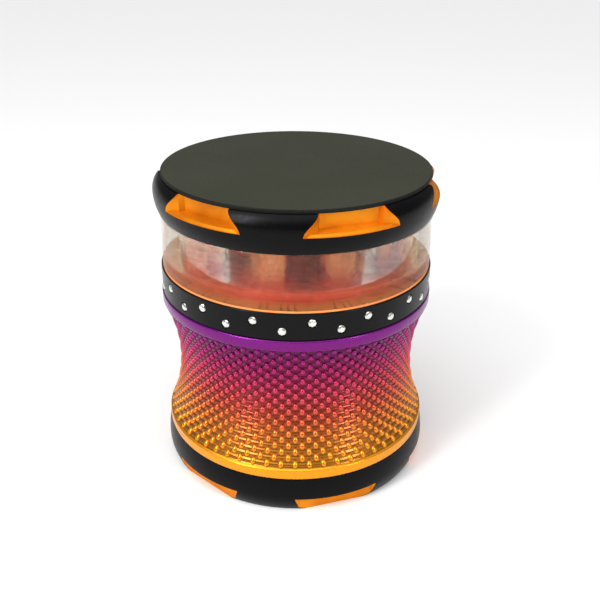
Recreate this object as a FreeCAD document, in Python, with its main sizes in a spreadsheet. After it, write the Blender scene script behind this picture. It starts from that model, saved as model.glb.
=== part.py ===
import FreeCAD, Part
import Sketcher
import math
import os

# A hand-held, screw-together herb grinder with a clear window.
# Frame: origin at the centre of the bottom face, +Z up through the lid, millimetres.
# Each turned piece is a half section in the XZ plane: x is the radius, y is the height.

doc = FreeCAD.newDocument("herb_grinder")

# ---------------------------------------------------------------- driving sizes

SIZES = [
    # outside radii: the widest one, and how far inside it the others lie
    ("bulge_radius", 31.5),  # widest radius of the lid and of the base
    ("face_inset", 1.9),  # flat discs on the top and the bottom
    ("shoulder_inset", 1.4),  # where the bulge meets a flat disc
    ("rim_inset", 0.6),  # drum rims, and the base's top edge
    ("collar_inset", 0.8),
    ("window_inset", 1.15),
    # heights, from the bottom up
    ("base_height", 8.6),
    ("base_bulge_height", 4.2),
    ("drum_height", 34.4),
    ("collar_height", 6.0),
    ("window_height", 12.4),
    ("lid_height", 8.8),
    ("lid_bulge_height", 4.7),  # above the lid's lower edge
    ("disc_thickness", 0.8),
    ("parting_gap", 0.1),  # between faces that turn against each other
    ("edge_round", 0.25),  # on the outer edges of discs, collar, window and drum rims
    # grip notches
    ("notch_count", 6),
    ("lid_notch_depth", 3.5),  # flat back wall, inside the widest radius
    ("base_notch_depth", 2.2),
    ("lid_notch_back_width", 12.4),
    ("base_notch_back_width", 17.2),
    ("lid_notch_step_width", 0.7),  # short steep step from the back wall to the flared facet
    ("base_notch_step_width", 0.3),
    ("lid_notch_step_depth", 1.0),
    ("base_notch_step_depth", 0.4),
    ("lid_notch_wide_end", 20.8),  # width next to the sloping ledge
    ("base_notch_wide_end", 19.6),
    ("lid_notch_narrow_end", 14.6),  # width next to the flat disc
    ("base_notch_narrow_end", 18.4),
    ("notch_sections", 4),  # steps that round the corners next to the flat disc
    ("notch_curve", 1.4),  # 1 leaves the corners straight
    ("lid_notch_height", 4.2),
    ("base_notch_height", 3.6),
    ("notch_ledge_rise", 0.9),
    ("notch_lip", 0.45),  # width of the step and of the chamfer behind a notch's edge
    ("lid_notch_angle", 21.2),
    ("base_notch_angle", 17.8),
    # drum
    ("rim_band_height", 2.4),
    ("waist_inset", 3.1),
    ("sleeve_thickness", 1.0),
    ("drum_wall", 1.7),
    # threads
    ("thread_wall", 4.1),  # from the drum rim's radius to the thread's bore
    ("thread_depth", 0.8),
    ("thread_lead", 1.6),
    ("thread_root_width", 0.9),
    ("thread_crest_width", 0.45),
    ("thread_clearance", 0.25),
    ("thread_bite", 0.15),  # how far a ridge is sunk into its spigot, or a groove starts in its bore
    ("thread_run_in", 40),  # angle by which a groove starts ahead of its ridge
    ("upper_spigot_length", 5.2),
    ("lower_spigot_lift", 1.3),  # spigot's end above the cup's rounded corner
    ("spigot_wall", 1.6),
    ("seal_width", 1.1),
    ("seal_thickness", 0.8),
    # sieve
    ("sieve_seat_height", 1.0),  # above the drum's lower face
    ("sieve_ledge", 1.2),
    ("sieve_hoop_height", 1.0),
    ("sieve_thickness", 0.25),
    ("sieve_hole_radius", 0.55),
    ("sieve_hole_pitch", 1.9),
    ("retainer_height", 0.9),
    ("retainer_depth", 0.5),
    ("retainer_gap_angle", 14),
    # base cup
    ("cup_inset", 1.0),  # inside the thread's bore
    ("cup_floor", 1.2),
    ("cup_corner", 1.2),
    ("base_disc_inset", 4.3),  # the disc that is let into the underside
    # chamber
    ("collar_thickness", 1.7),
    ("plate_thickness", 2.0),
    ("floor_height", 8.1),  # chamber floor above the drum
    ("lip_height", 0.6),  # above the chamber floor
    ("lip_wall", 0.9),
    ("window_wall", 4.05),
    ("gasket_thickness", 0.4),
    ("fit_gap", 0.1),
    # window neck, friction ring and lid skirt
    ("neck_wall", 1.9),
    ("neck_height", 2.6),
    ("ring_thickness", 0.5),
    ("recess_inset", 0.7),  # the lid's recess, inside the window's bore
    ("lid_plate_thickness", 1.6),
    ("lid_ceiling", 4.1),  # above the lid's lower edge
    # teeth, from the magnets' bosses outwards
    ("core_tooth_gap", 0.85),  # each gap is clear space inside a ring of teeth
    ("inner_tooth_gap", 0.6),
    ("middle_tooth_gap", 0.8),
    ("outer_tooth_gap", 0.6),
    ("outer_tooth_width", 7.7),
    ("middle_tooth_width", 6.2),
    ("inner_tooth_width", 5.0),
    ("core_tooth_width", 3.0),
    ("outer_tooth_depth", 4.8),
    ("middle_tooth_depth", 3.6),
    ("inner_tooth_depth", 3.6),
    ("core_tooth_depth", 2.0),
    ("outer_tooth_angle", -17.0),
    ("outer_tooth_count", 8),
    ("core_tooth_count", 4),
    ("rib_pitch", 1.25),
    ("rib_depth", 0.35),
    ("tooth_tip_gap", 1.3),
    ("tooth_root", 0.5),  # how far a tooth is sunk into its plate
    # holes that let the ground herb fall
    ("outer_hole_shift", 0.8),  # outwards from the ring of outer teeth
    ("inner_hole_shift", 0.5),  # inwards from the path of the lid's middle teeth
    ("hole_radius", 2.3),
    # magnets
    ("magnet_radius", 4.0),
    ("magnet_thickness", 3.0),
    ("magnet_clearance", 0.05),
    ("magnet_wall", 1.2),
    ("magnet_gap", 0.6),
    ("plate_boss_height", 6.9),
    # stones
    ("stones_per_row", 16),
    ("stone_radius", 1.0),
    ("stone_table_radius", 0.54),
    ("stone_culet_radius", 0.12),
    ("stone_crown", 0.42),
    ("stone_pavilion", 0.6),
    ("stone_sink", 0.25),  # girdle below the collar's surface
    ("stone_clearance", 0.05),
    ("upper_row_rise", 0.9),  # above the collar's middle
    ("lower_row_drop", 1.0),  # below it
    ("upper_row_angle", 6.1),
]

sheet = doc.addObject("Spreadsheet::Sheet", "Sizes")
for row, (alias, value) in enumerate(SIZES, start=1):
    sheet.set(f"A{row}", alias)
    sheet.set(f"B{row}", str(value))
    sheet.setAlias(f"B{row}", alias)
doc.recompute()


def size(alias):
    """The expression that reads one driving size."""
    return f"Sizes.{alias}"


def value(expression):
    """What an expression is worth now."""
    return float(sheet.evalExpression(str(expression)))


def plus(*terms):
    """The sum of expressions, as one expression."""
    return "(" + " + ".join(str(term) for term in terms) + ")"


def minus(first, *rest):
    """The first expression less all the others."""
    return "(" + " - ".join(str(term) for term in (first, *rest)) + ")"


def times(*terms):
    """The product of expressions."""
    return "(" + " * ".join(str(term) for term in terms) + ")"


# ---------------------------------------------------------------- shared levels and radii

GAP = size("parting_gap")
FIT = size("fit_gap")
CLEAR = size("thread_clearance")

DRUM_BOTTOM = size("base_height")
DRUM_TOP = plus(DRUM_BOTTOM, size("drum_height"))
WINDOW_BOTTOM = plus(DRUM_TOP, size("collar_height"))
LID_BOTTOM = plus(WINDOW_BOTTOM, size("window_height"))
LID_TOP = plus(LID_BOTTOM, size("lid_height"))
CHAMBER_FLOOR = plus(DRUM_TOP, size("floor_height"))
PLATE_UNDERSIDE = minus(CHAMBER_FLOOR, size("plate_thickness"))
LID_CEILING = plus(LID_BOTTOM, size("lid_ceiling"))
LID_PLATE_FACE = minus(LID_CEILING, size("lid_plate_thickness"))
NECK_TOP = plus(LID_BOTTOM, size("neck_height"))
LIP_TOP = plus(CHAMBER_FLOOR, size("lip_height"))
CUP_FLOOR = plus(size("disc_thickness"), size("cup_floor"))
LOWER_SPIGOT_END = plus(CUP_FLOOR, size("cup_corner"), size("lower_spigot_lift"))
UPPER_SPIGOT_END = minus(DRUM_TOP, size("upper_spigot_length"))

EDGE = size("edge_round")
FACE_RADIUS = minus(size("bulge_radius"), size("face_inset"))
SHOULDER_RADIUS = minus(size("bulge_radius"), size("shoulder_inset"))
RIM_RADIUS = minus(size("bulge_radius"), size("rim_inset"))
COLLAR_RADIUS = minus(size("bulge_radius"), size("collar_inset"))
WINDOW_RADIUS = minus(size("bulge_radius"), size("window_inset"))
BASE_DISC_RADIUS = minus(size("bulge_radius"), size("base_disc_inset"))
THREAD_BORE = minus(RIM_RADIUS, size("thread_wall"))
CUP_RADIUS = minus(THREAD_BORE, size("cup_inset"))
FLANGE_RADIUS = minus(COLLAR_RADIUS, size("collar_thickness"))
WINDOW_BORE = minus(WINDOW_RADIUS, size("window_wall"))
NECK_RADIUS = plus(WINDOW_BORE, size("neck_wall"))
RECESS_RADIUS = minus(WINDOW_BORE, size("recess_inset"))

GROOVE_RADIUS = plus(THREAD_BORE, size("thread_depth"))
CREST_RADIUS = minus(GROOVE_RADIUS, CLEAR)
ROOT_RADIUS = minus(THREAD_BORE, CLEAR)
SPIGOT_BORE = minus(ROOT_RADIUS, size("spigot_wall"))
SEAL_INNER = plus(ROOT_RADIUS, FIT)
SEAL_OUTER = plus(SEAL_INNER, size("seal_width"))
SEAL_POCKET = plus(SEAL_OUTER, FIT)
SEAL_POCKET_DEPTH = plus(size("seal_thickness"), FIT)

INNER_RIM = minus(RIM_RADIUS, size("sleeve_thickness"))
CAVITY_RADIUS = minus(INNER_RIM, size("waist_inset"), size("drum_wall"))
LIP_RADIUS = minus(WINDOW_BORE, FIT)
LIP_BORE = minus(LIP_RADIUS, size("lip_wall"))
RING_INNER = plus(NECK_RADIUS, FIT)
RING_OUTER = plus(RING_INNER, size("ring_thickness"))
SKIRT_BORE = plus(RING_OUTER, FIT)
MAGNET_POCKET = plus(size("magnet_radius"), size("magnet_clearance"))
BOSS_RADIUS = plus(MAGNET_POCKET, size("magnet_wall"))
PLATE_BOSS_TOP = plus(CHAMBER_FLOOR, size("plate_boss_height"))
LID_BOSS_END = plus(PLATE_BOSS_TOP, size("magnet_gap"))


def next_ring(inside, kind, inner_depth=0):
    """The radius of a ring of teeth, clear of what lies inside it."""
    half_depths = times(0.5, plus(inner_depth, size(kind + "_tooth_depth")))
    return plus(inside, size(kind + "_tooth_gap"), half_depths)


CORE_RING = next_ring(BOSS_RADIUS, "core")
INNER_RING = next_ring(CORE_RING, "inner", size("core_tooth_depth"))
MIDDLE_RING = next_ring(INNER_RING, "middle", size("inner_tooth_depth"))
OUTER_RING = next_ring(MIDDLE_RING, "outer", size("middle_tooth_depth"))
TOOTH_RINGS = {"core": CORE_RING, "inner": INNER_RING, "middle": MIDDLE_RING, "outer": OUTER_RING}

COLLAR_MIDDLE = plus(DRUM_TOP, times(0.5, size("collar_height")))
UPPER_ROW = plus(COLLAR_MIDDLE, size("upper_row_rise"))
LOWER_ROW = minus(COLLAR_MIDDLE, size("lower_row_drop"))
LOWER_ROW_ANGLE = minus(size("upper_row_angle"), f"180 / {size('stones_per_row')}")


# ---------------------------------------------------------------- building blocks


def origin_item(body, role):
    """One of the body's own origin planes or axes."""
    return next(item for item in body.Origin.OriginFeatures if item.Role == role)


def new_body(label):
    body = doc.addObject("PartDesign::Body", label)
    body.Label = label
    return body


def new_sketch(body, name, role="XZ_Plane"):
    sketch = body.newObject("Sketcher::SketchObject", name)
    sketch.AttachmentSupport = [(origin_item(body, role), "")]
    sketch.MapMode = "FlatFace"
    return sketch


def bind(sketch, kind, element, point, expression):
    """One coordinate of a sketch point, tied to an expression."""
    number = sketch.addConstraint(Sketcher.Constraint(kind, element, point, value(expression)))
    sketch.setExpression(f"Constraints[{number}]", str(expression))


def arc_between(start, end, radius, side):
    """The minor arc from start to end, with its middle on the left or right of the way. It always
    runs anticlockwise, so one that bulges to the left is drawn from its end to its start."""
    chord = end - start
    outward = FreeCAD.Vector(chord.y, -chord.x, 0).normalize()
    if side == "left":
        outward = outward * -1
    rise = radius - math.sqrt(radius**2 - (chord.Length / 2) ** 2)
    middle = (start + end) * 0.5 + outward * rise
    if side == "left":
        return Part.Arc(end, middle, start)
    return Part.Arc(start, middle, end)


def draw_outline(sketch, outline):
    """A closed outline of (x, y) corners. A third entry, (radius, "left" or "right"), makes the
    stretch that leaves the corner an arc that bulges to that side."""
    corners = [FreeCAD.Vector(value(corner[0]), value(corner[1]), 0) for corner in outline]
    ends = []
    for index, corner in enumerate(outline):
        start = corners[index]
        end = corners[(index + 1) % len(corners)]
        if len(corner) == 2:
            sketch.addGeometry(Part.LineSegment(start, end), False)
            ends.append((1, 2))
            continue
        radius, side = corner[2]
        sketch.addGeometry(arc_between(start, end, value(radius), side), False)
        ends.append((2, 1) if side == "left" else (1, 2))
    for index in range(len(outline)):
        following = (index + 1) % len(outline)
        sketch.addConstraint(
            Sketcher.Constraint("Coincident", index, ends[index][1], following, ends[following][0])
        )
    for index, corner in enumerate(outline):
        bind(sketch, "DistanceX", index, ends[index][0], corner[0])
        bind(sketch, "DistanceY", index, ends[index][0], corner[1])
        if len(corner) == 3:
            number = sketch.addConstraint(
                Sketcher.Constraint("Radius", index, value(corner[2][0]))
            )
            sketch.setExpression(f"Constraints[{number}]", str(corner[2][0]))


def revolve(body, name, outline):
    """Adds a full turn of a half section about the axis."""
    sketch = new_sketch(body, name + "_section")
    draw_outline(sketch, outline)
    feature = body.newObject("PartDesign::Revolution", name)
    feature.Profile = sketch
    feature.ReferenceAxis = (sketch, ["V_Axis"])
    feature.Angle = 360
    return feature


def top_round(radius, height):
    """An outer upper edge of a half section, rounded."""
    return [(radius, minus(height, EDGE), (EDGE, "right")), (minus(radius, EDGE), height)]


def bottom_round(radius, height):
    """An outer lower edge of a half section, rounded."""
    return [(minus(radius, EDGE), height, (EDGE, "right")), (radius, plus(height, EDGE))]


def turned(label, outline):
    """A piece made by turning one half section."""
    body = new_body(label)
    revolve(body, label + "_turned", outline)
    return body


def ring(label, inner, outer, low, high):
    """A plain ring of four-sided section."""
    turned(label, [(inner, low), (outer, low), (outer, high), (inner, high)])


def pattern(body, feature, count, name):
    """Repeats a feature evenly about the axis."""
    polar = body.newObject("PartDesign::PolarPattern", name)
    polar.Originals = [feature]
    polar.Axis = (origin_item(body, "Z_Axis"), [""])
    polar.Angle = 360
    polar.setExpression("Occurrences", str(count))
    body.Tip = polar
    return polar


def helical_section(bottom, inner, outer, width_inner, width_outer):
    """The four-sided section of a thread: widths are along the axis, centred on one height."""
    middle = plus(bottom, times(0.5, f"max({width_inner}; {width_outer})"))
    return [
        (inner, minus(middle, times(0.5, width_inner))),
        (outer, minus(middle, times(0.5, width_outer))),
        (outer, plus(middle, times(0.5, width_outer))),
        (inner, plus(middle, times(0.5, width_inner))),
    ]


def helix(body, name, kind, section, height, turn=0):
    """A right-hand thread ridge (AdditiveHelix) or groove (SubtractiveHelix) that starts at an
    angle about the axis."""
    sketch = new_sketch(body, name + "_section")
    sketch.AttachmentOffset = FreeCAD.Placement(
        FreeCAD.Vector(), FreeCAD.Rotation(FreeCAD.Vector(0, 1, 0), turn)
    )
    draw_outline(sketch, section)
    feature = body.newObject("PartDesign::" + kind, name)
    feature.Profile = (sketch, [""])
    feature.ReferenceAxis = (sketch, ["V_Axis"])
    feature.Mode = 0
    feature.setExpression("Pitch", size("thread_lead"))
    feature.setExpression("Height", str(height))
    feature.Angle = 0
    feature.LeftHanded = False
    feature.Reversed = False
    return feature


def male_thread(body, name, bottom, length):
    """A ridge on a spigot, from one height and over one length."""
    section = helical_section(
        bottom,
        minus(ROOT_RADIUS, size("thread_bite")),
        CREST_RADIUS,
        size("thread_root_width"),
        size("thread_crest_width"),
    )
    return helix(body, name, "AdditiveHelix", section, minus(length, size("thread_root_width")))


def female_thread(body, name, ridge_bottom, mouth):
    """The groove that a ridge starting at ridge_bottom runs in, out through the mouth, with
    clearance all round."""
    slack = times(2, CLEAR)
    run_in = times(size("thread_lead"), size("thread_run_in"), "1 / 360")
    start = minus(ridge_bottom, CLEAR, run_in)
    section = helical_section(
        start,
        minus(THREAD_BORE, size("thread_bite")),
        GROOVE_RADIUS,
        plus(size("thread_root_width"), slack),
        plus(size("thread_crest_width"), slack),
    )
    height = minus(mouth, start)
    return helix(body, name, "SubtractiveHelix", section, height, -value(size("thread_run_in")))


def place_level(sketch, height, angle=0):
    """Lifts a horizontal sketch to a height and turns it about the axis. The first turn of one
    degree only gives the rotation its axis, which a turn of none would leave undefined."""
    sketch.AttachmentOffset = FreeCAD.Placement(
        FreeCAD.Vector(0, 0, value(height)),
        FreeCAD.Rotation(FreeCAD.Vector(0, 0, 1), 1),
    )
    sketch.setExpression("AttachmentOffset.Base.z", str(height))
    sketch.setExpression("AttachmentOffset.Rotation.Angle", str(angle))


def place_radial(sketch, radius, angle=0):
    """Stands an upright sketch at a radius, facing outwards, turned about the axis from -Y."""
    sketch.AttachmentOffset = FreeCAD.Placement(
        FreeCAD.Vector(0, 0, value(radius)),
        FreeCAD.Rotation(FreeCAD.Vector(0, 1, 0), 1),
    )
    sketch.setExpression("AttachmentOffset.Base.x", times(radius, f"sin({angle} * 1 deg)"))
    sketch.setExpression("AttachmentOffset.Base.z", times(radius, f"cos({angle} * 1 deg)"))
    sketch.setExpression("AttachmentOffset.Rotation.Angle", str(angle))


def draw_circle(sketch, x, y, radius):
    middle = FreeCAD.Vector(value(x), value(y), 0)
    sketch.addGeometry(Part.Circle(middle, FreeCAD.Vector(0, 0, 1), value(radius)), False)
    bind(sketch, "DistanceX", 0, 3, x)
    bind(sketch, "DistanceY", 0, 3, y)
    number = sketch.addConstraint(Sketcher.Constraint("Radius", 0, value(radius)))
    sketch.setExpression(f"Constraints[{number}]", str(radius))


def cut_depth(body, sketch, name, depth):
    """A pocket from a sketch, against the sketch's normal."""
    pocket = body.newObject("PartDesign::Pocket", name)
    pocket.Profile = sketch
    pocket.Type = 0
    pocket.setExpression("Length", str(depth))
    return pocket


# ---------------------------------------------------------------- bulges and grip notches


def bulge_arc(height, drop):
    """The radius of an arc that leaves the widest point upright and draws in by drop over height."""
    return f"(({height} ^ 2 + {drop} ^ 2) / (2 * {drop}))"


def notch_back(kind):
    """How far from the axis the flat back wall of the lid's or the base's notches stands."""
    return minus(size("bulge_radius"), size(kind + "_notch_depth"))


def notch_plan(body, kind, name, height, width, angle):
    """A notch seen from above at one height: a flat back wall with a short steep step and a flared
    facet at each end. The facets meet the bulge at the notch's width, and are carried on past it."""
    sketch = new_sketch(body, name, "XY_Plane")
    place_level(sketch, height, angle)
    back = notch_back(kind)
    half_back = times(0.5, size(kind + "_notch_back_width"))
    half_width = times(0.5, width)
    surface = f"sqrt({size('bulge_radius')} ^ 2 - {half_width} ^ 2)"
    step_x = plus(half_back, size(kind + "_notch_step_width"))
    step_y = plus(back, size(kind + "_notch_step_depth"))
    far_x = minus(times(2, half_width), step_x)
    far_y = minus(times(2, surface), step_y)
    outside = plus(size("bulge_radius"), size(kind + "_notch_depth"))
    half_outline = [(half_back, back), (step_x, step_y), (far_x, far_y), (far_x, outside)]
    left = [(times(-1, x), times(-1, y)) for x, y in half_outline]
    right = [(x, times(-1, y)) for x, y in reversed(half_outline)]
    draw_outline(sketch, left + right)
    return sketch


def cut_notches(body, kind, wide_height, narrow_height):
    """The grip notches, each lofted from its wide end to its narrow end round curved corners."""
    wide = size(kind + "_notch_wide_end")
    narrow = size(kind + "_notch_narrow_end")
    angle = size(kind + "_notch_angle")
    sections = []
    for step in range(int(value(size("notch_sections"))) + 1):
        share = f"({step} / {size('notch_sections')})"
        height = plus(wide_height, times(share, minus(narrow_height, wide_height)))
        width = minus(wide, times(minus(wide, narrow), f"{share} ^ {size('notch_curve')}"))
        sections.append(notch_plan(body, kind, f"notch_plan_{step}", height, width, angle))
    loft = body.newObject("PartDesign::SubtractiveLoft", "notch")
    loft.Profile = sections[0]
    loft.Sections = sections[1:]
    loft.Ruled = True
    return pattern(body, loft, size("notch_count"), "notches")


def sloped_ledge(body, kind, surface, level, upward):
    """A ring inside the body that shows only in the notches, as their sloping ledge: a steep
    chamfer behind the edge, then a gentle slope to the back wall."""
    sign = 1 if upward else -1
    inner = minus(notch_back(kind), size("notch_lip"))
    edge = minus(surface, size("notch_lip"))
    knee = minus(edge, size("notch_lip"))
    half_rise = times(0.5 * sign, size("notch_ledge_rise"))
    root = minus(level, half_rise)
    outline = [
        (inner, root),
        (edge, root),
        (edge, level),
        (knee, plus(level, half_rise)),
        (inner, plus(level, half_rise, half_rise)),
    ]
    return revolve(body, "ledge", outline)


def radius_on_bulge(arc_radius, below):
    """The bulge's radius at a height that lies `below` from its widest point."""
    return (
        f"({size('bulge_radius')} - {arc_radius} + sqrt({arc_radius} ^ 2 - {below} ^ 2))"
    )


# ---------------------------------------------------------------- base


def base_cup():
    disc = size("disc_thickness")
    bulge = size("base_bulge_height")
    top = minus(DRUM_BOTTOM, GAP)
    step = minus(LOWER_SPIGOT_END, CLEAR)
    mouth = minus(top, SEAL_POCKET_DEPTH)
    corner = size("cup_corner")
    lower_arc = bulge_arc(bulge, size("shoulder_inset"))
    upper_arc = bulge_arc(minus(top, bulge), size("rim_inset"))
    body = turned(
        "base_cup",
        [
            (0, disc),
            (plus(BASE_DISC_RADIUS, FIT), disc),
            (plus(BASE_DISC_RADIUS, FIT), 0),
            (SHOULDER_RADIUS, 0, (lower_arc, "right")),
            (size("bulge_radius"), bulge, (upper_arc, "right")),
            (RIM_RADIUS, top),
            (SEAL_POCKET, top),
            (SEAL_POCKET, mouth),
            (THREAD_BORE, mouth),
            (THREAD_BORE, step),
            (CUP_RADIUS, step),
            (CUP_RADIUS, plus(CUP_FLOOR, corner), (corner, "left")),
            (minus(CUP_RADIUS, corner), CUP_FLOOR),
            (0, CUP_FLOOR),
        ],
    )
    notch_end = size("base_notch_height")
    cut_notches(body, "base", notch_end, 0)
    surface = radius_on_bulge(lower_arc, minus(bulge, notch_end))
    sloped_ledge(body, "base", surface, notch_end, upward=False)
    female_thread(body, "lower_groove", plus(LOWER_SPIGOT_END, FIT), mouth)


def base_bottom_disc():
    turned(
        "base_bottom_disc",
        [
            (0, 0),
            *bottom_round(BASE_DISC_RADIUS, 0),
            (BASE_DISC_RADIUS, size("disc_thickness")),
            (0, size("disc_thickness")),
        ],
    )


# ---------------------------------------------------------------- drum


def waist_arc():
    """The radius of the drum's hollow outline, from its chord between the rim bands."""
    chord = minus(size("drum_height"), GAP, times(2, size("rim_band_height")))
    return bulge_arc(times(0.5, chord), size("waist_inset"))


def drum_sleeve():
    band = size("rim_band_height")
    low = DRUM_BOTTOM
    high = minus(DRUM_TOP, GAP)
    outer = RIM_RADIUS
    turned(
        "drum_sleeve",
        [
            (INNER_RIM, low),
            *bottom_round(outer, low),
            (outer, plus(low, band), (waist_arc(), "left")),
            (outer, minus(high, band)),
            *top_round(outer, high),
            (INNER_RIM, high),
            (INNER_RIM, minus(high, band), (waist_arc(), "right")),
            (INNER_RIM, plus(low, band)),
        ],
    )


def drum_body():
    band = size("rim_band_height")
    low = DRUM_BOTTOM
    high = minus(DRUM_TOP, GAP)
    seat = plus(low, size("sieve_seat_height"))
    ledge_bore = minus(CAVITY_RADIUS, size("sieve_ledge"))
    groove_low = plus(seat, size("sieve_hoop_height"), FIT)
    groove_high = plus(groove_low, size("retainer_height"), FIT)
    groove_radius = plus(CAVITY_RADIUS, size("retainer_depth"))
    step = minus(UPPER_SPIGOT_END, CLEAR)
    mouth = minus(high, SEAL_POCKET_DEPTH)
    body = turned(
        "drum_body",
        [
            (ledge_bore, LOWER_SPIGOT_END),
            (ROOT_RADIUS, LOWER_SPIGOT_END),
            (ROOT_RADIUS, low),
            (INNER_RIM, low),
            (INNER_RIM, plus(low, band), (waist_arc(), "left")),
            (INNER_RIM, minus(high, band)),
            (INNER_RIM, high),
            (SEAL_POCKET, high),
            (SEAL_POCKET, mouth),
            (THREAD_BORE, mouth),
            (THREAD_BORE, step),
            (CAVITY_RADIUS, minus(step, minus(THREAD_BORE, CAVITY_RADIUS))),
            (CAVITY_RADIUS, groove_high),
            (groove_radius, groove_high),
            (groove_radius, groove_low),
            (CAVITY_RADIUS, groove_low),
            (CAVITY_RADIUS, seat),
            (ledge_bore, seat),
        ],
    )
    female_thread(body, "upper_groove", plus(UPPER_SPIGOT_END, FIT), mouth)
    length = minus(low, LOWER_SPIGOT_END, SEAL_POCKET_DEPTH, times(3, FIT))
    male_thread(body, "lower_ridge", plus(LOWER_SPIGOT_END, FIT), length)


def sieve_frame():
    """A hoop with a slot in its bore that grips the screen's edge."""
    low = plus(DRUM_BOTTOM, size("sieve_seat_height"))
    high = plus(low, size("sieve_hoop_height"))
    outer = minus(CAVITY_RADIUS, FIT)
    inner = minus(CAVITY_RADIUS, size("sieve_ledge"))
    slot_low = plus(low, times(0.5, minus(size("sieve_hoop_height"), size("sieve_thickness"))))
    slot_high = plus(slot_low, size("sieve_thickness"))
    slot_radius = times(0.5, plus(outer, inner))
    turned(
        "sieve_frame",
        [
            (inner, low),
            (outer, low),
            (outer, high),
            (inner, high),
            (inner, slot_high),
            (slot_radius, slot_high),
            (slot_radius, slot_low),
            (inner, slot_low),
        ],
    )


def sieve_screen():
    """A fine disc with its openings in a triangular grid, held in the hoop's slot."""
    inner = value(minus(CAVITY_RADIUS, size("sieve_ledge")))
    outer = (inner + value(minus(CAVITY_RADIUS, FIT))) / 2
    hole = value(size("sieve_hole_radius"))
    pitch = value(size("sieve_hole_pitch"))
    thickness = value(size("sieve_thickness"))
    seat = plus(DRUM_BOTTOM, size("sieve_seat_height"))
    middle = value(plus(seat, times(0.5, size("sieve_hoop_height"))))
    upright = FreeCAD.Vector(0, 0, 1)
    level = FreeCAD.Vector(0, 0, middle - thickness / 2)
    wires = [Part.Wire(Part.makeCircle(outer, level, upright))]
    row_pitch = pitch * math.sqrt(3) / 2
    rows = int(inner / row_pitch)
    for row in range(-rows, rows + 1):
        shift = pitch / 2 if row % 2 else 0
        columns = int(inner / pitch) + 1
        for column in range(-columns, columns + 1):
            spot = FreeCAD.Vector(column * pitch + shift, row * row_pitch, 0)
            if spot.Length + 2 * hole < inner:
                wires.append(Part.Wire(Part.makeCircle(hole, spot + level, upright)))
    face = Part.makeFace(wires, "Part::FaceMakerBullseye")
    feature = doc.addObject("Part::Feature", "sieve_screen")
    feature.Shape = face.extrude(FreeCAD.Vector(0, 0, thickness))


def sieve_retainer():
    """A snap ring in the drum's groove, with a gap to close it for fitting."""
    seat = plus(DRUM_BOTTOM, size("sieve_seat_height"))
    low = plus(seat, size("sieve_hoop_height"), times(1.5, FIT))
    high = plus(low, size("retainer_height"))
    inner = minus(CAVITY_RADIUS, size("sieve_ledge"))
    outer = minus(plus(CAVITY_RADIUS, size("retainer_depth")), FIT)
    body = new_body("sieve_retainer")
    outline = [(inner, low), (outer, low), (outer, high), (inner, high)]
    ring = revolve(body, "sieve_retainer_turned", outline)
    ring.setExpression("Angle", minus(360, size("retainer_gap_angle")))


def thread_seal(label, joint_face):
    """A flat-sided ring in the pocket at a thread's mouth, round the root of the spigot."""
    high = minus(joint_face, times(1.5, GAP))
    low = minus(high, size("seal_thickness"))
    ring(label, SEAL_INNER, SEAL_OUTER, low, high)


# ---------------------------------------------------------------- chamber


def tooth_section(body, name, ring, width, depth, height, angle, inset):
    """One rhombus of a tooth, seen from above: its long way round the plate."""
    sketch = new_sketch(body, name, "XY_Plane")
    place_level(sketch, height, angle)
    half_width = minus(times(0.5, width), inset)
    half_depth = minus(times(0.5, depth), times(inset, depth, f"1 / {width}"))
    draw_outline(
        sketch,
        [
            (times(-1, half_width), times(-1, ring)),
            (0, minus(0, ring, half_depth)),
            (half_width, times(-1, ring)),
            (0, minus(half_depth, ring)),
        ],
    )
    return sketch


def add_teeth(body, kind, root, tip, angle, count):
    """A ring of ribbed teeth that stand up from a plate, or hang down from it."""
    ring = TOOTH_RINGS[kind]
    width = size(kind + "_tooth_width")
    depth = size(kind + "_tooth_depth")
    sign = 1 if value(tip) > value(root) else -1
    half_pitch = times(0.5 * sign, size("rib_pitch"))
    steps = int(abs(value(minus(tip, root))) / abs(value(half_pitch)))
    sunk = minus(root, times(sign, size("tooth_root")))
    levels = [(sunk, 0)]
    for step in range(1, steps + 1):
        inset = size("rib_depth") if step % 2 == 0 else 0
        levels.append((plus(root, times(step, half_pitch)), inset))
    sketches = [
        tooth_section(body, f"{kind}_tooth_{index}", ring, width, depth, level, angle, inset)
        for index, (level, inset) in enumerate(levels)
    ]
    loft = body.newObject("PartDesign::AdditiveLoft", kind + "_tooth")
    loft.Profile = sketches[0]
    loft.Sections = sketches[1:]
    loft.Ruled = True
    pattern(body, loft, count, kind + "_teeth")


def drill_ring(body, name, ring, angle, count):
    """A ring of round holes through the tooth plate."""
    sketch = new_sketch(body, name + "_circle", "XY_Plane")
    place_level(sketch, CHAMBER_FLOOR, angle)
    draw_circle(sketch, 0, times(-1, ring), size("hole_radius"))
    pocket = cut_depth(body, sketch, name, times(2, size("plate_thickness")))
    pattern(body, pocket, count, name + "s")


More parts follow.
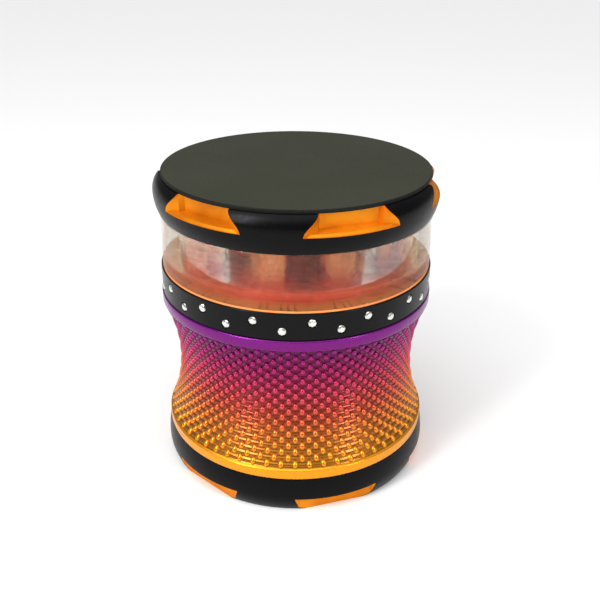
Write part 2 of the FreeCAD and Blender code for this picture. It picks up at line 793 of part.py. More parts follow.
def tooth_plate():
    flange_face = DRUM_TOP
    pocket_floor = minus(PLATE_BOSS_TOP, size("magnet_thickness"))
    body = turned(
        "tooth_plate",
        [
            (SPIGOT_BORE, UPPER_SPIGOT_END),
            (ROOT_RADIUS, UPPER_SPIGOT_END),
            (ROOT_RADIUS, flange_face),
            (FLANGE_RADIUS, flange_face),
            (FLANGE_RADIUS, WINDOW_BOTTOM),
            (LIP_RADIUS, WINDOW_BOTTOM),
            (LIP_RADIUS, LIP_TOP),
            (LIP_BORE, LIP_TOP),
            (LIP_BORE, CHAMBER_FLOOR),
            (BOSS_RADIUS, CHAMBER_FLOOR),
            (BOSS_RADIUS, PLATE_BOSS_TOP),
            (MAGNET_POCKET, PLATE_BOSS_TOP),
            (MAGNET_POCKET, pocket_floor),
            (0, pocket_floor),
            (0, PLATE_UNDERSIDE),
            (SPIGOT_BORE, PLATE_UNDERSIDE),
        ],
    )
    count = size("outer_tooth_count")
    first = size("outer_tooth_angle")
    between = plus(first, f"180 / {count}")
    drill_ring(body, "outer_hole", plus(OUTER_RING, size("outer_hole_shift")), between, count)
    drill_ring(body, "inner_hole", minus(MIDDLE_RING, size("inner_hole_shift")), first, count)
    tip = minus(LID_PLATE_FACE, size("tooth_tip_gap"))
    add_teeth(body, "outer", CHAMBER_FLOOR, tip, first, count)
    add_teeth(body, "inner", CHAMBER_FLOOR, tip, between, count)
    length = minus(size("upper_spigot_length"), SEAL_POCKET_DEPTH, times(3, FIT))
    male_thread(body, "upper_ridge", plus(UPPER_SPIGOT_END, FIT), length)


def stone_collar():
    low = DRUM_TOP
    body = turned(
        "stone_collar",
        [
            (FLANGE_RADIUS, low),
            *bottom_round(COLLAR_RADIUS, low),
            *top_round(COLLAR_RADIUS, WINDOW_BOTTOM),
            (FLANGE_RADIUS, WINDOW_BOTTOM),
        ],
    )
    rows = (
        ("upper_pit", UPPER_ROW, size("upper_row_angle")),
        ("lower_pit", LOWER_ROW, LOWER_ROW_ANGLE),
    )
    start = plus(COLLAR_RADIUS, size("stone_crown"))
    stone = plus(size("stone_crown"), size("stone_sink"), size("stone_pavilion"))
    depth = plus(stone, size("stone_clearance"))
    radius = plus(size("stone_radius"), size("stone_clearance"))
    for name, height, angle in rows:
        sketch = new_sketch(body, name + "_circle")
        place_radial(sketch, start, angle)
        draw_circle(sketch, 0, height, radius)
        pocket = cut_depth(body, sketch, name, depth)
        pattern(body, pocket, size("stones_per_row"), name + "s")


def octagon(body, name, radius, distance, height, angle):
    """An upright eight-sided section of a stone, facing outwards."""
    sketch = new_sketch(body, name)
    place_radial(sketch, distance, angle)
    corners = []
    for corner in range(8):
        turn = 22.5 + 45 * corner
        x = times(radius, f"cos({turn} deg)")
        y = plus(height, times(radius, f"sin({turn} deg)"))
        corners.append((x, y))
    draw_outline(sketch, corners)
    return sketch


def rhinestones(label, height, angle):
    """A row of cut stones: eight crown facets and a table outside, eight below the girdle."""
    body = new_body(label)
    girdle = minus(COLLAR_RADIUS, size("stone_sink"))
    culet = minus(girdle, size("stone_pavilion"))
    table = plus(girdle, size("stone_crown"))
    loft = body.newObject("PartDesign::AdditiveLoft", "stone")
    loft.Profile = octagon(body, "culet", size("stone_culet_radius"), culet, height, angle)
    loft.Sections = [
        octagon(body, "girdle", size("stone_radius"), girdle, height, angle),
        octagon(body, "table", size("stone_table_radius"), table, height, angle),
    ]
    loft.Ruled = True
    pattern(body, loft, size("stones_per_row"), "stones")


def window_gasket():
    low = WINDOW_BOTTOM
    high = plus(low, size("gasket_thickness"))
    inner = plus(LIP_RADIUS, FIT)
    outer = WINDOW_RADIUS
    ring("window_gasket", inner, outer, low, high)


def window_ring():
    """The clear wall, with a thinner neck that stands up inside the lid's skirt."""
    low = plus(WINDOW_BOTTOM, size("gasket_thickness"))
    shoulder = minus(LID_BOTTOM, GAP)
    turned(
        "window_ring",
        [
            (WINDOW_BORE, low),
            *bottom_round(WINDOW_RADIUS, low),
            *top_round(WINDOW_RADIUS, shoulder),
            (NECK_RADIUS, shoulder),
            *top_round(NECK_RADIUS, NECK_TOP),
            (WINDOW_BORE, NECK_TOP),
        ],
    )


def magnet(label, low):
    """A disc magnet, its lower face at low."""
    high = plus(low, size("magnet_thickness"))
    turned(
        label,
        [(0, low), (size("magnet_radius"), low), (size("magnet_radius"), high), (0, high)],
    )


# ---------------------------------------------------------------- lid


def friction_ring():
    low = plus(LID_BOTTOM, FIT)
    high = minus(NECK_TOP, FIT)
    ring("friction_ring", RING_INNER, RING_OUTER, low, high)


def lid_shell():
    bulge = plus(LID_BOTTOM, size("lid_bulge_height"))
    shoulder = minus(LID_TOP, size("disc_thickness"))
    skirt_top = plus(NECK_TOP, times(3, FIT))
    lower_arc = bulge_arc(size("lid_bulge_height"), size("window_inset"))
    upper_arc = bulge_arc(minus(shoulder, bulge), size("shoulder_inset"))
    body = turned(
        "lid_shell",
        [
            (SKIRT_BORE, LID_BOTTOM),
            (WINDOW_RADIUS, LID_BOTTOM, (lower_arc, "right")),
            (size("bulge_radius"), bulge, (upper_arc, "right")),
            (SHOULDER_RADIUS, shoulder),
            (0, shoulder),
            (0, LID_CEILING),
            (RECESS_RADIUS, LID_CEILING),
            (RECESS_RADIUS, skirt_top),
            (SKIRT_BORE, skirt_top),
        ],
    )
    notch_end = minus(shoulder, size("lid_notch_height"))
    cut_notches(body, "lid", notch_end, shoulder)
    surface = radius_on_bulge(lower_arc, minus(bulge, notch_end))
    sloped_ledge(body, "lid", surface, notch_end, upward=True)


def lid_top_disc():
    low = minus(LID_TOP, size("disc_thickness"))
    turned(
        "lid_top_disc",
        [(0, low), (FACE_RADIUS, low), *top_round(FACE_RADIUS, LID_TOP), (0, LID_TOP)],
    )


def lid_tooth_plate():
    """The disc in the lid's recess. Its boss holds the magnet, and two rings of teeth hang
    between the chamber's rings."""
    magnet_top = plus(LID_BOSS_END, size("magnet_thickness"))
    plate_radius = minus(RECESS_RADIUS, times(0.5, FIT))
    body = turned(
        "lid_tooth_plate",
        [
            (0, magnet_top),
            (MAGNET_POCKET, magnet_top),
            (MAGNET_POCKET, LID_BOSS_END),
            (BOSS_RADIUS, LID_BOSS_END),
            (BOSS_RADIUS, LID_PLATE_FACE),
            (plate_radius, LID_PLATE_FACE),
            (plate_radius, LID_CEILING),
            (0, LID_CEILING),
        ],
    )
    tip = plus(CHAMBER_FLOOR, size("tooth_tip_gap"))
    first = size("outer_tooth_angle")
    add_teeth(body, "middle", LID_PLATE_FACE, tip, first, size("outer_tooth_count"))
    add_teeth(body, "core", LID_PLATE_FACE, tip, first, size("core_tooth_count"))


# ---------------------------------------------------------------- the assembly

base_bottom_disc()
base_cup()
thread_seal("lower_thread_seal", DRUM_BOTTOM)
drum_body()
drum_sleeve()
sieve_frame()
sieve_screen()
sieve_retainer()
thread_seal("upper_thread_seal", DRUM_TOP)
tooth_plate()
magnet("plate_magnet", minus(PLATE_BOSS_TOP, size("magnet_thickness")))
stone_collar()
rhinestones("rhinestones_upper", UPPER_ROW, size("upper_row_angle"))
rhinestones("rhinestones_lower", LOWER_ROW, LOWER_ROW_ANGLE)
window_gasket()
window_ring()
friction_ring()
lid_shell()
lid_top_disc()
lid_tooth_plate()
magnet("lid_magnet", LID_BOSS_END)
doc.recompute()

# ---------------------------------------------------------------- checks and files


def subparts():
    """Every piece of the assembly: the bodies, and the features that stand by themselves."""
    return [item for item in doc.Objects if item.TypeId in ("PartDesign::Body", "Part::Feature")]


def check_model():
    """Stops at a feature that failed, or at a piece whose shape is missing or not valid."""
    failed = [
        item.Name for item in doc.Objects if {"Invalid", "Error"} & set(item.State)
    ]
    if failed:
        raise RuntimeError(f"features that failed: {failed}")
    for item in subparts():
        if item.Shape.isNull() or not item.Shape.isValid() or not item.Shape.Solids:
            raise RuntimeError(f"{item.Label} has no valid solid")


check_model()
os.makedirs("parts", exist_ok=True)
for item in subparts():
    item.Shape.exportStep(f"parts/{item.Label}.step")
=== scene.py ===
import bpy
import bmesh
import math
import numpy as np
from mathutils import Matrix, Vector


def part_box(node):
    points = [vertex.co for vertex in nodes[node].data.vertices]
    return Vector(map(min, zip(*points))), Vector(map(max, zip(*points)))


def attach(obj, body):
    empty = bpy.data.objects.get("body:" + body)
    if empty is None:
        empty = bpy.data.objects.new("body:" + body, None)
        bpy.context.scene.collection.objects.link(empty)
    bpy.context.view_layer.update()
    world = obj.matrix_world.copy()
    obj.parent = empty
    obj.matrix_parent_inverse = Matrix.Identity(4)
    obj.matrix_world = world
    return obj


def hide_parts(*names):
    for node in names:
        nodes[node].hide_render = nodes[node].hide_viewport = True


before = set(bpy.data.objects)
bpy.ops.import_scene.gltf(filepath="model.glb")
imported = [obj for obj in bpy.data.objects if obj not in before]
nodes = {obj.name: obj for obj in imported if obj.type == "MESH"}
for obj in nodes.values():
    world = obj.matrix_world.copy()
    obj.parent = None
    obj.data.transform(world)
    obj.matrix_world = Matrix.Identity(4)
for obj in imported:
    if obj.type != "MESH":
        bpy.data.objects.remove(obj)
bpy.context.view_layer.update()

MM = 0.001

# ---------------------------------------------------------------- camera


def place_camera():
    """A 48 mm lens in front of the object and above it, looking down on the lid."""
    pitch = math.radians(26.03)
    yaw = math.radians(0.32)
    roll = math.radians(0.42)
    forward = Vector(
        (math.sin(yaw) * math.cos(pitch), math.cos(yaw) * math.cos(pitch), -math.sin(pitch))
    )
    right = forward.cross(Vector((0, 0, 1))).normalized()
    up = right.cross(forward)
    turned_right = right * math.cos(roll) + up * math.sin(roll)
    turned_up = up * math.cos(roll) - right * math.sin(roll)
    camera = bpy.data.objects.new("camera", bpy.data.cameras.new("camera"))
    camera.data.sensor_width = 36
    camera.data.lens = 48
    camera.data.clip_start = 0.01
    axes = Matrix((turned_right, turned_up, -forward)).transposed().to_4x4()
    camera.matrix_world = Matrix.Translation((0, -170.4 * MM, 120.4 * MM)) @ axes
    bpy.context.scene.collection.objects.link(camera)
    bpy.context.scene.camera = camera


# ---------------------------------------------------------------- material nodes


class Nodes:
    """A short way to wire up the nodes of one material."""

    def __init__(self, name):
        self.material = bpy.data.materials.new(name)
        self.material.use_nodes = True
        self.tree = self.material.node_tree
        self.shader = self.tree.nodes["Principled BSDF"]

    def add(self, kind, **settings):
        node = self.tree.nodes.new(kind)
        for key, setting in settings.items():
            setattr(node, key, setting)
        return node

    def link(self, source, target):
        self.tree.links.new(source, target)

    def set(self, **values):
        """Plain values on the shader's own sockets: base_color sets "Base Color"."""
        for key, setting in values.items():
            name = " ".join(word.capitalize() for word in key.split("_"))
            name = name.replace("Ior", "IOR")
            if isinstance(setting, tuple) and len(setting) == 3:
                setting = (*setting, 1)
            self.shader.inputs[name].default_value = setting
        return self

    def math(self, operation, first, second=None, clamp=False):
        node = self.add("ShaderNodeMath", operation=operation, use_clamp=clamp)
        for socket, term in zip(node.inputs, (first, second)):
            if term is None:
                continue
            if isinstance(term, (int, float)):
                socket.default_value = term
            else:
                self.link(term, socket)
        return node.outputs[0]

    def position(self):
        """x, y, z of the point on the object, in metres, and its distance from the axis."""
        coordinates = self.add("ShaderNodeTexCoord")
        split = self.add("ShaderNodeSeparateXYZ")
        self.link(coordinates.outputs["Object"], split.inputs[0])
        x, y, z = split.outputs
        squares = self.math("ADD", self.math("MULTIPLY", x, x), self.math("MULTIPLY", y, y))
        radius = self.math("SQRT", squares)
        return coordinates.outputs["Object"], x, y, z, radius

    def noise(self, vector, scale, detail=3.0, roughness=0.5):
        node = self.add("ShaderNodeTexNoise")
        node.inputs["Scale"].default_value = scale
        node.inputs["Detail"].default_value = detail
        node.inputs["Roughness"].default_value = roughness
        self.link(vector, node.inputs["Vector"])
        return node.outputs["Fac"]

    def stretch(self, value, low, high, to_low, to_high):
        """Maps a range of values onto another, held at its ends."""
        node = self.add("ShaderNodeMapRange")
        node.inputs["From Min"].default_value = low
        node.inputs["From Max"].default_value = high
        node.inputs["To Min"].default_value = to_low
        node.inputs["To Max"].default_value = to_high
        self.link(value, node.inputs["Value"])
        return node.outputs["Result"]

    def ramp(self, value, stops):
        """Colours along a value: stops of (position, colour)."""
        node = self.add("ShaderNodeValToRGB")
        elements = node.color_ramp.elements
        while len(elements) < len(stops):
            elements.new(0.5)
        for element, (position, colour) in zip(elements, stops):
            element.position = position
            element.color = (*colour, 1)
        self.link(value, node.inputs["Fac"])
        return node.outputs["Color"]

    def mix(self, factor, first, second):
        node = self.add("ShaderNodeMix", data_type="RGBA")
        self.link(factor, node.inputs["Factor"])
        for socket, colour in ((node.inputs[6], first), (node.inputs[7], second)):
            if isinstance(colour, tuple):
                socket.default_value = (*colour, 1)
            else:
                self.link(colour, socket)
        return node.outputs[2]

    def bump(self, height, distance, strength=1.0):
        node = self.add("ShaderNodeBump")
        node.inputs["Distance"].default_value = distance
        node.inputs["Strength"].default_value = strength
        self.link(height, node.inputs["Height"])
        self.link(node.outputs["Normal"], self.shader.inputs["Normal"])


def srgb(red, green, blue):
    """A colour given in 0 to 255 steps, as the renderer's linear values."""
    channels = []
    for channel in (red, green, blue):
        share = channel / 255
        if share <= 0.04045:
            channels.append(share / 12.92)
        else:
            channels.append(((share + 0.055) / 1.055) ** 2.4)
    return tuple(channels)


ORANGE = srgb(226, 140, 22)
DEEP_ORANGE = srgb(206, 116, 12)
# the pale salmon is painted light and the deep red painted shade on the chamber's anodised metal
LIT_TOOTH_SALMON = srgb(248, 168, 132)
SHADED_FLOOR_RED = srgb(222, 74, 52)
BLACK = srgb(4, 4, 5)
DISC_BLACK = srgb(50, 53, 42)


def two_tone(name, bulge_height, bulge_radius, upper_radius, lower_radius, low, high):
    """Black outside, with bare orange metal where a notch cuts behind the bulge. The bulge is two
    arcs that meet at its widest height."""
    m = Nodes(name)
    vector, _, _, z, radius = m.position()
    rise = m.math("SUBTRACT", z, bulge_height)
    above = m.math("GREATER_THAN", rise, 0.0)
    arc = m.math(
        "ADD",
        m.math("MULTIPLY", above, upper_radius - lower_radius),
        lower_radius,
    )
    inside = m.math("SUBTRACT", m.math("MULTIPLY", arc, arc), m.math("MULTIPLY", rise, rise))
    surface = m.math("ADD", m.math("SUBTRACT", m.math("SQRT", inside), arc), bulge_radius)
    depth = m.math("SUBTRACT", surface, radius)
    cut = m.stretch(depth, 0.05 * MM, 0.09 * MM, 0, 1)
    cut = m.math("MULTIPLY", cut, m.math("GREATER_THAN", z, low))
    cut = m.math("MULTIPLY", cut, m.math("LESS_THAN", z, high))
    cut = m.math("MULTIPLY", cut, m.math("GREATER_THAN", radius, 27.4 * MM))
    cloud = m.noise(vector, 160)
    orange = m.mix(m.stretch(cloud, 0.35, 0.65, 0, 1), ORANGE, DEEP_ORANGE)
    m.link(m.mix(cut, BLACK, orange), m.shader.inputs["Base Color"])
    m.link(m.math("MULTIPLY", cut, 0.45), m.shader.inputs["Metallic"])
    satin = m.stretch(m.noise(vector, 900, 4), 0.3, 0.7, 0.26, 0.36)
    m.link(m.math("ADD", satin, m.math("MULTIPLY", cut, 0.06)), m.shader.inputs["Roughness"])
    m.set(specular_ior_level=0.1)
    m.bump(m.noise(vector, 5200, 2), 0.012 * MM, 0.25)
    return m.material


def matt_disc():
    """Fine-grained matt lacquer, dark olive grey, with painted shade on its rim."""
    m = Nodes("matt_disc")
    vector, _, _, _, radius = m.position()
    grain = m.noise(vector, 2600, 3)
    cloud = m.noise(vector, 45, 2)
    mottle = m.mix(m.stretch(cloud, 0.3, 0.7, 0, 1), DISC_BLACK, srgb(55, 56, 46))
    # painted shade: the rim darkens to near black where the rounded edge turns away from the light
    edge = m.stretch(radius, 29.3 * MM, 29.5 * MM, 0, 1)
    m.link(m.mix(edge, mottle, srgb(24, 24, 22)), m.shader.inputs["Base Color"])
    m.link(m.stretch(grain, 0.3, 0.7, 0.5, 0.62), m.shader.inputs["Roughness"])
    m.set(specular_ior_level=0.1)
    m.bump(grain, 0.02 * MM, 0.3)
    return m.material


def chamber_metal(name, root, tip):
    """Anodised aluminium with fine turning marks; painted shade (deep red) at root, painted light
    (salmon) at tip.
    """
    m = Nodes(name)
    vector, _, _, z, radius = m.position()
    cloud = m.noise(vector, 300, 3)
    red = m.mix(m.stretch(cloud, 0.35, 0.65, 0, 1), SHADED_FLOOR_RED, srgb(206, 58, 40))
    salmon = m.mix(m.stretch(cloud, 0.35, 0.65, 0, 1), LIT_TOOTH_SALMON, srgb(240, 146, 108))
    # the height ramp paints shade at the root and light at the tip over the anodised colour
    m.link(m.mix(m.stretch(z, root, tip, 0, 1), red, salmon), m.shader.inputs["Base Color"])
    lathe = m.add("ShaderNodeTexWave", wave_type="BANDS", bands_direction="X")
    lathe.inputs["Scale"].default_value = 1500
    combine = m.add("ShaderNodeCombineXYZ")
    m.link(m.math("ADD", radius, z), combine.inputs[0])
    m.link(combine.outputs[0], lathe.inputs["Vector"])
    m.link(m.stretch(cloud, 0.3, 0.7, 0.22, 0.32), m.shader.inputs["Roughness"])
    m.set(metallic=0.3)
    m.bump(lathe.outputs["Fac"], 0.01 * MM, 0.3)
    return m.material


CLEAR_GLOSS = 0.25


def clear_acrylic():
    """Clear acrylic with a pale yellow-green tint and faint polishing marks."""
    m = Nodes("clear_acrylic")
    vector, _, _, _, _ = m.position()
    m.set(base_color=(0.86, 0.91, 0.52), transmission_weight=1.0, ior=1.47, alpha=0.45)
    m.set(specular_ior_level=CLEAR_GLOSS)
    haze = m.noise(vector, 700, 4)
    m.link(m.stretch(haze, 0.45, 0.8, 0.0, 0.01), m.shader.inputs["Roughness"])
    return m.material


SLEEVE_STOPS = (
    (0.00, srgb(232, 152, 8)),
    (0.08, srgb(230, 148, 14)),
    (0.18, srgb(226, 138, 34)),
    (0.30, srgb(220, 118, 46)),
    (0.39, srgb(210, 90, 54)),
    (0.50, srgb(202, 68, 70)),
    (0.62, srgb(190, 48, 88)),
    (0.74, srgb(166, 24, 96)),
    (0.88, srgb(136, 8, 104)),
    (0.94, srgb(112, 6, 108)),
    (1.00, srgb(110, 8, 116)),
)


def sleeve_gradient(name, painted_shade):
    """Metallised lacquer that runs from gold at the foot to purple at the top. The colour is scaled
    down for the sunk surface between the bumps: painted shade."""
    m = Nodes(name)
    low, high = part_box("drum_sleeve")
    vector, _, _, z, _ = m.position()
    share = m.stretch(z, low.z, high.z, 0, 1)
    drift = m.math("MULTIPLY", m.math("SUBTRACT", m.noise(vector, 60, 2), 0.5), 0.05)
    stops = [(place, tuple(painted_shade * channel for channel in colour)) for place, colour in SLEEVE_STOPS]
    m.link(m.ramp(m.math("ADD", share, drift), stops), m.shader.inputs["Base Color"])
    m.link(m.stretch(m.noise(vector, 1400, 3), 0.3, 0.7, 0.24, 0.32), m.shader.inputs["Roughness"])
    m.set(metallic=0.78, coat_weight=0.15, coat_roughness=0.08)
    return m.material


def orange_rubber():
    m = Nodes("orange_rubber")
    vector, _, _, _, _ = m.position()
    # the orange is lightened towards peach: the gasket's own colour plus a painted highlight along the
    # window's lower edge
    tint = m.mix(m.noise(vector, 500, 2), srgb(252, 160, 84), srgb(244, 138, 62))
    m.link(tint, m.shader.inputs["Base Color"])
    m.link(m.stretch(m.noise(vector, 1800, 3), 0.3, 0.7, 0.18, 0.28), m.shader.inputs["Roughness"])
    return m.material


def cut_stone():
    """Foil-backed glass: bright facets with a clear coat, tinted slightly by the foil."""
    m = Nodes("cut_stone")
    vector, _, _, _, _ = m.position()
    tint = m.mix(m.noise(vector, 800, 1), srgb(226, 226, 222), srgb(196, 202, 190))
    m.link(tint, m.shader.inputs["Base Color"])
    m.link(m.stretch(m.noise(vector, 2200, 2), 0.3, 0.7, 0.02, 0.06), m.shader.inputs["Roughness"])
    m.set(metallic=0.9, coat_weight=1.0, coat_roughness=0.02)
    return m.material


def metal(name, light, dark, rough, mark_scale):
    """Plain metal with fine marks."""
    m = Nodes(name)
    vector, _, _, _, _ = m.position()
    marks = m.noise(vector, mark_scale, 4)
    m.link(m.mix(marks, light, dark), m.shader.inputs["Base Color"])
    m.link(m.stretch(marks, 0.3, 0.7, rough - 0.05, rough + 0.08), m.shader.inputs["Roughness"])
    m.set(metallic=1.0)
    m.bump(marks, 0.01 * MM, 0.3)
    return m.material


def plastic(name, light, dark, rough, mark_scale, gloss=0.5):
    """Plain moulded plastic or rubber with a fine surface."""
    m = Nodes(name)
    vector, _, _, _, _ = m.position()
    marks = m.noise(vector, mark_scale, 3)
    m.link(m.mix(marks, light, dark), m.shader.inputs["Base Color"])
    m.link(m.stretch(marks, 0.3, 0.7, rough - 0.06, rough + 0.06), m.shader.inputs["Roughness"])
    m.set(specular_ior_level=gloss)
    m.bump(marks, 0.015 * MM, 0.3)
    return m.material


def arc_radius(height, drop):
    """The radius of an arc that leaves the widest point upright and draws in by drop."""
    return (height**2 + drop**2) / (2 * drop)


def paint(name, material):
    """Gives a CAD node its material."""
    mesh = nodes[name].data
    mesh.materials.clear()
    mesh.materials.append(material)


BASE_BULGE_HEIGHT = 4.2 * MM  # widest circle above the base's lower face
LID_BULGE_HEIGHT = 4.7 * MM  # widest circle above the lid's lower edge
SHOULDER_DROP = 1.4 * MM  # how far the bulges draw in next to the flat discs
BASE_RIM_DROP = 0.6 * MM
LID_RIM_DROP = 1.15 * MM
BASE_NOTCH_REACH = 4.8 * MM  # bare metal shows no further than this from the flat disc
LID_NOTCH_REACH = 5.5 * MM
SKIN = 0.02 * MM


def paint_nodes():
    """A material for every CAD node that stays as it is."""
    base_low, base_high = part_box("base_cup")
    lid_low, lid_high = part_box("lid_shell")
    widest = base_high.x
    lid_bulge = lid_low.z + LID_BULGE_HEIGHT
    paint(
        "base_cup",
        two_tone(
            "base_black",
            BASE_BULGE_HEIGHT,
            widest,
            arc_radius(base_high.z - BASE_BULGE_HEIGHT, BASE_RIM_DROP),
            arc_radius(BASE_BULGE_HEIGHT - base_low.z, SHOULDER_DROP),
            base_low.z + SKIN,
            base_low.z + BASE_NOTCH_REACH,
        ),
    )
    paint(
        "lid_shell",
        two_tone(
            "lid_black",
            lid_bulge,
            widest,
            arc_radius(lid_high.z - lid_bulge, SHOULDER_DROP),
            arc_radius(lid_bulge - lid_low.z, LID_RIM_DROP),
            lid_high.z - LID_NOTCH_REACH,
            lid_high.z - SKIN,
        ),
    )
    disc = matt_disc()
    paint("lid_top_disc", disc)
    paint("base_bottom_disc", disc)
    # root and tip set where chamber_metal's painted shade (deep red) gives way to painted light (pale
    # salmon)
    plate_low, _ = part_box("lid_tooth_plate")
    floor = plate_low.z - 1.3 * MM
    paint("tooth_plate", chamber_metal("chamber_metal", floor + 0.1 * MM, floor + 1.6 * MM))
    lid_teeth = chamber_metal("lid_teeth_metal", lid_low.z, lid_low.z + 2.6 * MM)
    paint("lid_tooth_plate", lid_teeth)
    paint("drum_body", chamber_metal("drum_metal", 0.0, 1.0))
    paint("window_ring", clear_acrylic())
    paint("window_gasket", orange_rubber())
    paint("stone_collar", plastic("collar_black", srgb(6, 6, 7), srgb(10, 10, 11), 0.24, 900, gloss=0.12))
    steel = metal("sieve_steel", srgb(190, 190, 186), srgb(160, 160, 158), 0.3, 900)
    for name in ("sieve_frame", "sieve_screen", "sieve_retainer"):
        paint(name, steel)
    nickel = metal("magnet_nickel", srgb(214, 210, 200), srgb(190, 186, 178), 0.14, 500)
    for name in ("plate_magnet", "lid_magnet"):
        paint(name, nickel)
    rubber = plastic("seal_rubber", srgb(14, 14, 15), srgb(22, 22, 23), 0.5, 1200)
    for name in ("upper_thread_seal", "lower_thread_seal"):
        paint(name, rubber)
    paint("friction_ring", plastic("slip_plastic", srgb(236, 234, 226), srgb(226, 224, 216), 0.42, 700))


# ---------------------------------------------------------------- textured sleeve


def new_object(name, vertices, faces, material, smooth=True):
    mesh = bpy.data.meshes.new(name)
    mesh.from_pydata(vertices, [], faces)
    mesh.validate()
    mesh.materials.append(material)
    piece = bpy.data.objects.new(name, mesh)
    bpy.context.scene.collection.objects.link(piece)
    mesh.polygons.foreach_set("use_smooth", [smooth] * len(mesh.polygons))
    return piece


BAND = 2.4 * MM  # smooth rims at the sleeve's ends
WAIST_INSET = 3.1 * MM
SLEEVE_THICKNESS = 1.0 * MM
PATTERN_DEPTH = 0.6 * MM  # the patterned surface lies this far below the rims' outline
PATTERN_MARGIN = 0.3 * MM
BUMPS_AROUND = 60
BUMP_ROWS = 22
BUMP_HEIGHT = 0.56 * MM
BUMP_HALF_WIDTH = 0.64 * MM
BUMP_HALF_LENGTH = 0.8 * MM
BUMP_SIDES = 14
BUMP_RINGS = 4
BUMP_SUNK = 0.15 * MM
TURNED_SIDES = 240
# share of the bumps' colour given to the sunk surface between them: painted shade
GROUND_PAINTED_SHADE = 0.42
RIDGE_HEIGHT = 0.14 * MM
RIDGE_HALF_WIDTH = 0.15 * MM


def waist(z, low, high, rim):
    """The sleeve's smooth outline: straight rims and a hollow arc between them."""
    start = low + BAND
    end = high - BAND
    middle = (start + end) / 2
    radius = arc_radius((end - start) / 2, WAIST_INSET)
    reach = np.clip(z, start, end) - middle
    return rim - WAIST_INSET + radius - np.sqrt(radius**2 - reach**2)


def bump_levels(low, high):
    """The height of each row's middle."""
    start = low + BAND + PATTERN_MARGIN
    pitch = (high - low - 2 * BAND - 2 * PATTERN_MARGIN) / BUMP_ROWS
    return [start + (row + 0.5) * pitch for row in range(BUMP_ROWS)]


def sleeve_outline(low, high, rim):
    """The sleeve in section, as (radius, z): rims, the sunk surface with a fine ridge along each
    row's middle, and the bore."""
    edge = 0.25 * MM
    points = [(rim - edge, low), (rim - 0.06 * MM, low + 0.06 * MM), (rim, low + edge)]
    points.append((rim, low + BAND - edge))
    points.append((rim - 0.08 * MM, low + BAND - 0.05 * MM))
    levels = bump_levels(low, high)
    sunk = [(waist(low + BAND, low, high, rim) - PATTERN_DEPTH, low + BAND)]
    for level in levels:
        for offset, rise in (
            (-RIDGE_HALF_WIDTH, 0),
            (-RIDGE_HALF_WIDTH / 3, RIDGE_HEIGHT),
            (RIDGE_HALF_WIDTH / 3, RIDGE_HEIGHT),
            (RIDGE_HALF_WIDTH, 0),
        ):
            z = level + offset
            sunk.append((waist(z, low, high, rim) - PATTERN_DEPTH + rise, z))
    sunk.append((waist(high - BAND, low, high, rim) - PATTERN_DEPTH, high - BAND))
    points += sunk
    points.append((rim - 0.08 * MM, high - BAND + 0.05 * MM))
    points.append((rim, high - BAND + edge))
    points += [(rim, high - edge), (rim - 0.06 * MM, high - 0.06 * MM), (rim - edge, high)]
    for z in np.linspace(high, low, 16):
        points.append((waist(z, low, high, rim) - SLEEVE_THICKNESS - PATTERN_DEPTH, z))
    return [(float(radius), float(z)) for radius, z in points]


def turned(points, around):
    """Vertices and faces of a closed outline turned about the axis."""
    vertices = []
    faces = []
    for radius, z in points:
        for step in range(around):
            angle = 2 * math.pi * step / around
            vertices.append((radius * math.cos(angle), radius * math.sin(angle), z))
    count = len(points)
    for row in range(count):
        following = (row + 1) % count
        for step in range(around):
            side = (step + 1) % around
            faces.append(
                (
                    row * around + step,
                    row * around + side,
                    following * around + side,
                    following * around + step,
                )
            )
    return vertices, faces


def oval_bump(angle, level, low, high, rim, start):
    """One closed oval dome that stands on the sunk surface. Its faces are numbered from start."""
    slope = (waist(level + 0.1 * MM, low, high, rim) - waist(level - 0.1 * MM, low, high, rim)) / (
        0.2 * MM
    )
    base = waist(level, low, high, rim) - PATTERN_DEPTH
    vertices = []

    def place(across, along, rise):
        radius = base + slope * along + rise
        turn = angle + across / base
        vertices.append((radius * math.cos(turn), radius * math.sin(turn), level + along))

    place(0, 0, -BUMP_SUNK)
    for ring in range(BUMP_RINGS + 1):
        lift = math.pi / 2 * (ring - 1) / BUMP_RINGS
        spread = 1.0 if ring == 0 else math.cos(lift)
        rise = -BUMP_SUNK if ring == 0 else BUMP_HEIGHT * math.sin(lift)
        for side in range(BUMP_SIDES):
            way = 2 * math.pi * side / BUMP_SIDES
            across = BUMP_HALF_WIDTH * spread * math.cos(way)
            along = BUMP_HALF_LENGTH * spread * math.sin(way)
            place(across, along, rise)
    place(0, 0, BUMP_HEIGHT)
    top = start + len(vertices) - 1
    faces = []
    for side in range(BUMP_SIDES):
        following = (side + 1) % BUMP_SIDES
        faces.append((start, start + 1 + following, start + 1 + side))
        for ring in range(BUMP_RINGS):
            lower = start + 1 + ring * BUMP_SIDES
            upper = lower + BUMP_SIDES
            faces.append((lower + side, lower + following, upper + following, upper + side))
        last = start + 1 + BUMP_RINGS * BUMP_SIDES
        faces.append((last + side, last + following, top))
    return vertices, faces


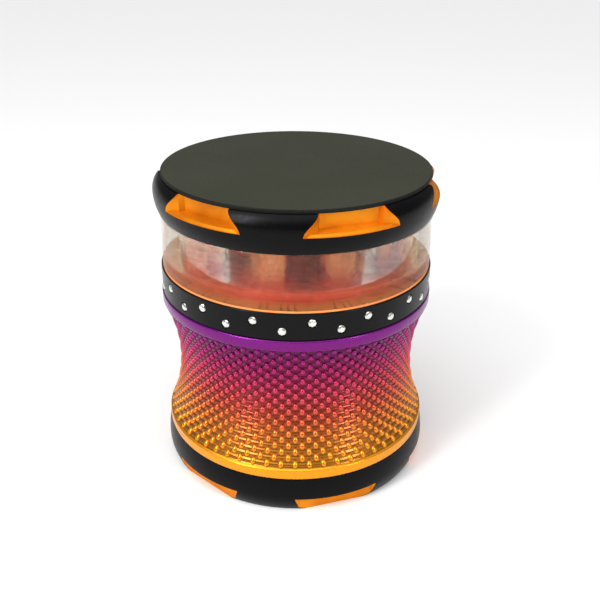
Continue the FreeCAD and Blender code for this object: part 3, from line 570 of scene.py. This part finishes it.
def textured_sleeve():
    """The sleeve: a turned body under staggered rows of oval domes."""
    low_corner, high_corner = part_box("drum_sleeve")
    low, high, rim = low_corner.z, high_corner.z, high_corner.x
    outline = sleeve_outline(low, high, rim)
    vertices, faces = turned(outline, TURNED_SIDES)
    # faces of the sunk surface between the bumps, which take the darkened material: painted shade
    painted_shade_faces = []
    for row, (radius, z) in enumerate(outline):
        patterned = low + BAND <= z < high - BAND and radius > waist(z, low, high, rim) - SLEEVE_THICKNESS
        painted_shade_faces += [int(patterned)] * TURNED_SIDES
    levels = bump_levels(low, high)
    for row, level in enumerate(levels):
        for bump in range(BUMPS_AROUND):
            angle = 2 * math.pi * (bump + 0.5 * (row % 2)) / BUMPS_AROUND
            more, sides = oval_bump(angle, level, low, high, rim, len(vertices))
            vertices += more
            faces += sides
    piece = new_object("sleeve_textured", vertices, faces, sleeve_gradient("sleeve_bumps", 1.0))
    # the second material is the same gradient darkened: painted shade between the bumps
    piece.data.materials.append(sleeve_gradient("sleeve_ground_painted_shade", GROUND_PAINTED_SHADE))
    piece.data.polygons.foreach_set("material_index", painted_shade_faces + [0] * (len(faces) - len(painted_shade_faces)))
    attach(piece, "drum")
    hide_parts("drum_sleeve")


# ---------------------------------------------------------------- stones


STONES_PER_ROW = 16
STONE_TURN = 360 / STONES_PER_ROW
GIRDLE_INSET = 0.25 * MM  # the girdles lie this far inside the collar
FIRST_STONE = 6.1
UPPER_ROW = 3.9 * MM  # above the collar's lower edge
LOWER_ROW = 2.0 * MM


def stone_points():
    """Corners of one cut stone: table, star ring, girdle and culet, as (radius, turn, height)."""
    points = []
    for corner in range(8):
        points.append((0.54, 22.5 + 45 * corner, 0.42))
        points.append((0.8, 45 * corner, 0.28))
    for corner in range(16):
        points.append((1.0, 22.5 * corner, 0.0))
    points.append((0.0, 0.0, -0.6))
    return points


def stone_row(name, node, height, first_angle):
    """A row of stones round the collar, all one piece."""
    collar_low, collar_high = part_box("stone_collar")
    girdle = collar_high.x - GIRDLE_INSET
    gem = bmesh.new()
    for index in range(STONES_PER_ROW):
        turn = Matrix.Rotation(math.radians(first_angle + STONE_TURN * index), 4, "Z")
        corners = []
        for radius, angle, stand in stone_points():
            x = radius * MM * math.cos(math.radians(angle))
            z = radius * MM * math.sin(math.radians(angle))
            place = Vector((x, -(girdle + stand * MM), collar_low.z + height + z))
            corners.append(gem.verts.new(turn @ place))
        bmesh.ops.convex_hull(gem, input=corners)
    mesh = bpy.data.meshes.new(name)
    gem.to_mesh(mesh)
    gem.free()
    mesh.materials.append(cut_stone())
    piece = bpy.data.objects.new(name, mesh)
    bpy.context.scene.collection.objects.link(piece)
    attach(piece, "chamber")
    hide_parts(node)


# ---------------------------------------------------------------- stage and light


def area_light(name, place, target, width, height, power):
    lamp = bpy.data.lights.new(name, "AREA")
    lamp.shape = "RECTANGLE"
    lamp.size = width
    lamp.size_y = height
    lamp.energy = power
    holder = bpy.data.objects.new(name, lamp)
    bpy.context.scene.collection.objects.link(holder)
    holder.location = place
    holder.rotation_euler = (Vector(target) - Vector(place)).to_track_quat("-Z", "Y").to_euler()


def stage():
    """A plain pale floor."""
    m = Nodes("floor")
    m.set(base_color=(0.9, 0.9, 0.9), roughness=0.8)
    half = 3.0
    corners = [(-half, -half, 0), (half, -half, 0), (half, half, 0), (-half, half, 0)]
    floor = new_object("floor", corners, [(0, 1, 2, 3)], m.material, smooth=False)


def lights():
    """White light from above that fades towards the horizon, a soft sun and two softboxes."""
    world = bpy.data.worlds.new("studio")
    bpy.context.scene.world = world
    world.use_nodes = True
    tree = world.node_tree
    background = tree.nodes["Background"]
    background.inputs["Strength"].default_value = 1.0
    direction = tree.nodes.new("ShaderNodeTexCoord")
    split = tree.nodes.new("ShaderNodeSeparateXYZ")
    sky = tree.nodes.new("ShaderNodeValToRGB")
    tree.links.new(direction.outputs["Generated"], split.inputs[0])
    tree.links.new(split.outputs["Z"], sky.inputs["Fac"])
    tree.links.new(sky.outputs["Color"], background.inputs["Color"])
    for element, level, brightness in zip(sky.color_ramp.elements, (0.05, 0.8), (0.1, 0.62)):
        element.position = level
        element.color = (brightness, brightness, brightness, 1)
    sun = bpy.data.lights.new("sun", "SUN")
    sun.energy = 1.6
    sun.angle = math.radians(70)
    holder = bpy.data.objects.new("sun", sun)
    holder.rotation_euler = (math.radians(18), math.radians(-14), 0)
    bpy.context.scene.collection.objects.link(holder)
    middle = (0, 0, 0.035)
    area_light("key", (-0.3, -0.3, 0.32), middle, 0.12, 0.3, 1.5)
    area_light("fill", (0.34, -0.3, 0.26), middle, 0.1, 0.26, 0.9)


# ---------------------------------------------------------------- the object

bpy.context.scene.view_settings.view_transform = "Standard"
place_camera()
stage()
lights()
paint_nodes()
textured_sleeve()
stone_row("stones_upper", "rhinestones_upper", UPPER_ROW, FIRST_STONE)
stone_row("stones_lower", "rhinestones_lower", LOWER_ROW, FIRST_STONE - STONE_TURN / 2)
